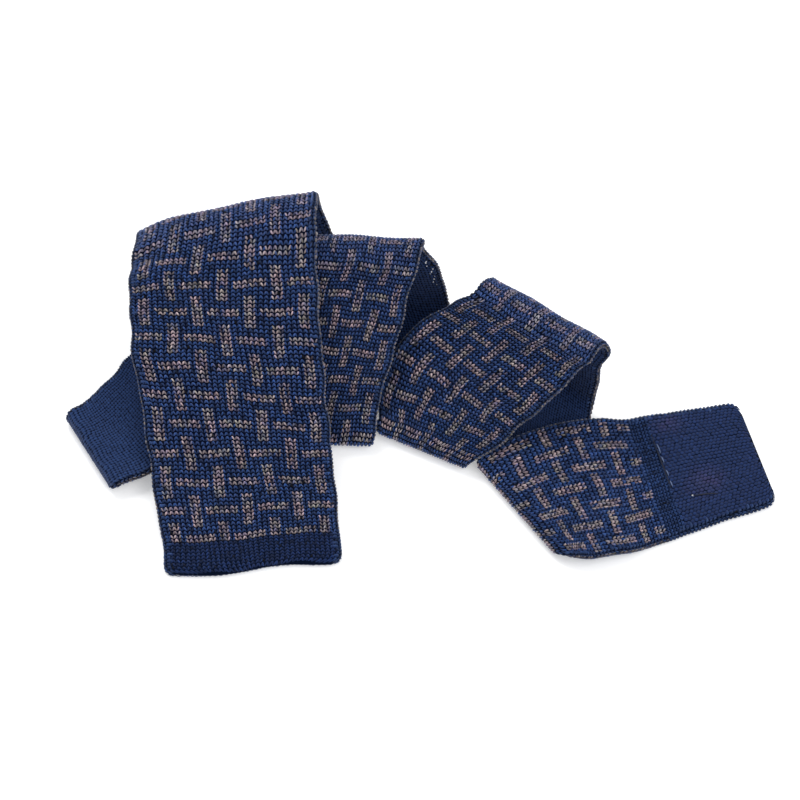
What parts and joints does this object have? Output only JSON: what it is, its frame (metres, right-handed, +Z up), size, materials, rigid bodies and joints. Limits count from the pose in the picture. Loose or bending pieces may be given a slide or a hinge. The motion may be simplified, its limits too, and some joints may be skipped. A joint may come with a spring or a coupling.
{
  "type": "knit tie",
  "caption": "Flat-knitted necktie with square ends, a wide blade narrowing to a slim tail, laid down in three loose loops on a flat surface.",
  "frame": {"origin": "on the surface that the tie lies on, under the middle of its bounding box", "axes": "+X along the lay from the wide blade towards the tail's end, +Y from the wide blade's hem towards the loops' tops, +Z up"},
  "size_m": [0.241, 0.1364, 0.0559],
  "materials": {
    "plain_knit": "plain navy jersey, matte with a soft fuzz",
    "patterned_knit": "two-colour jacquard in navy and brown, matte with a soft fuzz"
  },
  "bodies": {
    "root": {"blade_hem": "plain_knit", "patterned_tube": "patterned_knit", "tail_band": "plain_knit"}
  },
  "joints": []
}
